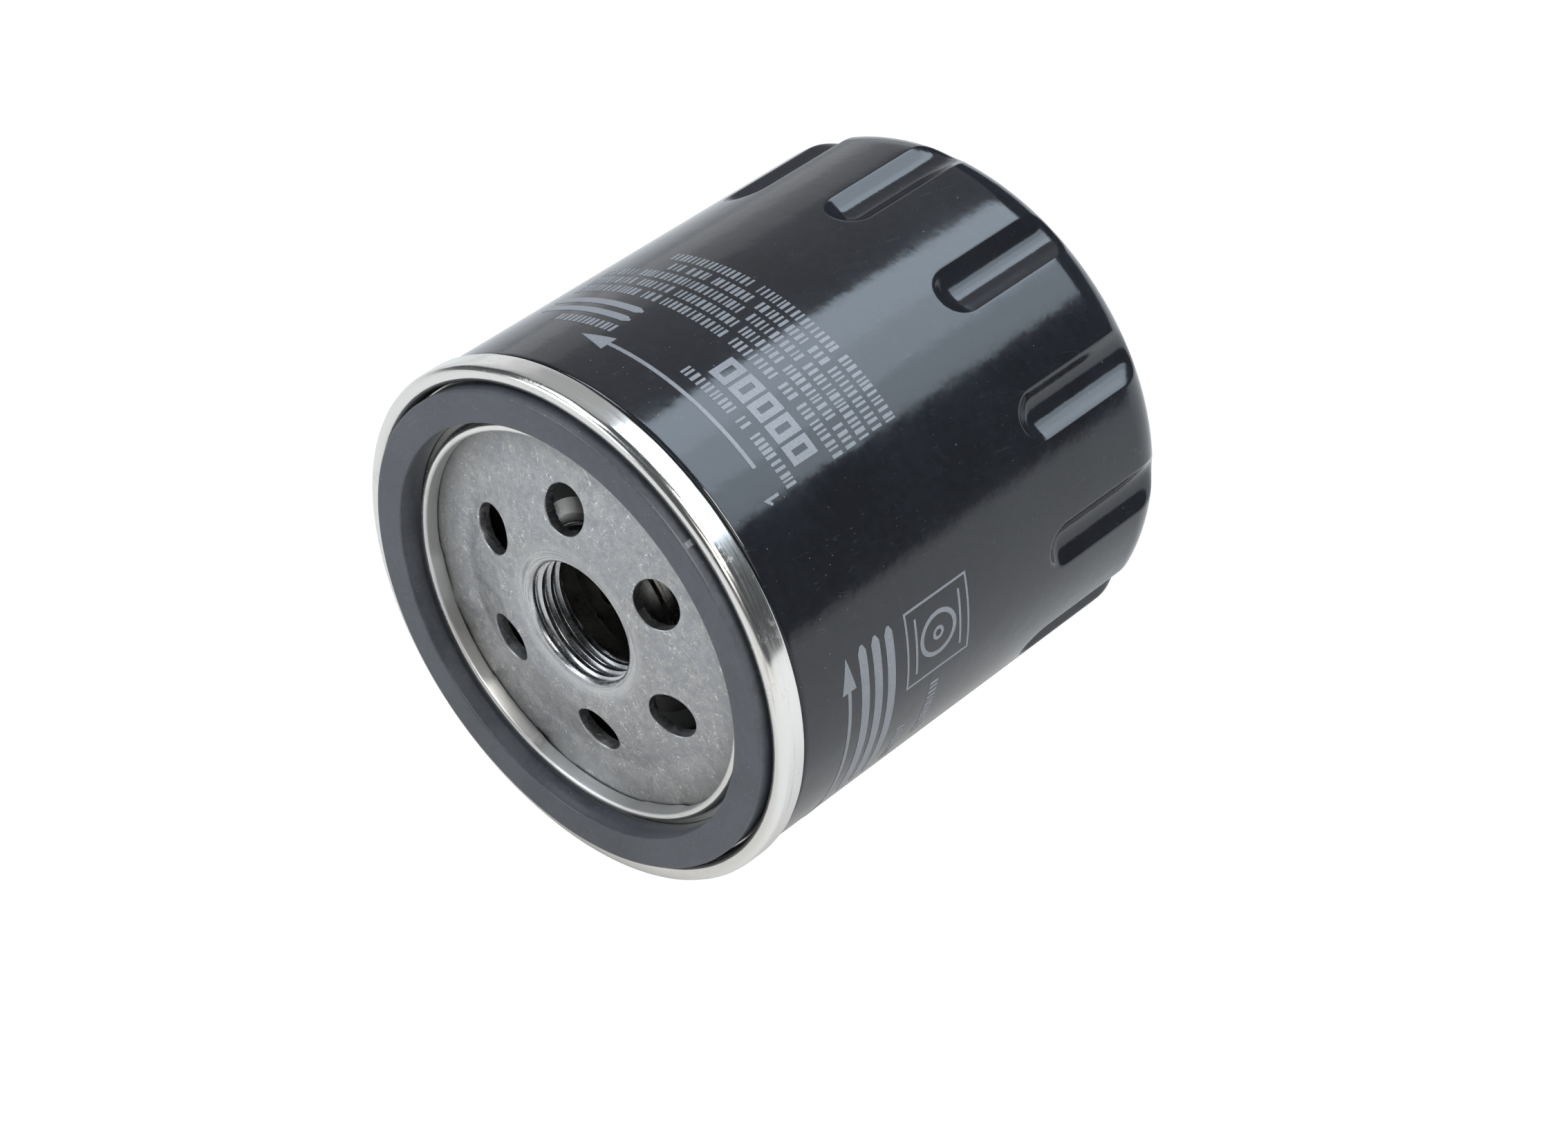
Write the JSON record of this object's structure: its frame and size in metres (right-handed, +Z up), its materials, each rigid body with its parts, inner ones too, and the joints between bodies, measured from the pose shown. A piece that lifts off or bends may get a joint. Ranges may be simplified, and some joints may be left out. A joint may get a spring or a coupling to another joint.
{
  "type": "oil filter",
  "caption": "Spin-on oil filter for a small engine: black drawn can with grip flutes at the closed end, rolled seam, square-section gasket and threaded tapping plate with inlet holes.",
  "frame": {"origin": "centre of the stud thread's mouth, on the tapping plate's outer face", "axes": "+Y along the filter's axis from the open, threaded end towards the closed end, +Z up with the filter lying on its side, +X to the right"},
  "size_m": [0.0766, 0.0806, 0.0766],
  "materials": {
    "can_paint": "gloss black enamel with fine dust and scuffs",
    "print_ink": "silver-grey screen print, satin",
    "tin_plate": "bright rolled tin plate with fine concentric lines",
    "plate_steel": "dull zinc-grey steel with fine random scratches",
    "gasket_rubber": "satin nitrile, lightly dusted",
    "valve_rubber": "matt black nitrile",
    "compound": "cured sealing compound",
    "cap_steel": "satin pressed steel",
    "spring_steel": "oiled spring wire",
    "filter_paper": "creped, resin-treated cellulose",
    "adhesive": "cured plastisol"
  },
  "bodies": {
    "casing": {"can": "can_paint", "seaming_lid": "tin_plate", "seam_compound": "compound", "gasket": "gasket_rubber", "tapping_plate": "plate_steel", "hold_down_spring": "spring_steel"},
    "element": {"drainback_clamp_ring": "cap_steel", "drainback_hub": "valve_rubber", "lower_end_cap": "cap_steel", "lower_adhesive": "adhesive", "pleated_media": "filter_paper", "media_seam_clip": "cap_steel", "upper_adhesive": "adhesive", "upper_end_cap": "cap_steel", "centre_tube": "cap_steel", "bypass_seat": "cap_steel", "bypass_spring": "spring_steel", "bypass_cage": "cap_steel", "spring_seat": "cap_steel"},
    "bypass_valve": {"bypass_seal": "valve_rubber", "bypass_disc": "cap_steel"},
    "drainback_skirt": {"drainback_lip": "valve_rubber"}
  },
  "joints": [
    {"name": "element_float", "type": "slide", "parent": "casing", "child": "element", "axis": [0, 1, 0], "range_m": [0, 0.0015], "stiffness_N_per_m": 3000, "springref_m": -0.01, "deforming": ["hold_down_spring"]},
    {"name": "bypass_lift", "type": "slide", "parent": "element", "child": "bypass_valve", "axis": [0, -1, 0], "range_m": [0, 0.0025], "stiffness_N_per_m": 1500, "springref_m": -0.008, "deforming": ["bypass_spring"]},
    {"name": "drainback_lift", "type": "slide", "parent": "element", "child": "drainback_skirt", "axis": [0, 1, 0], "range_m": [0, 0.0012], "stiffness_N_per_m": 200, "springref_m": -0.002}
  ]
}
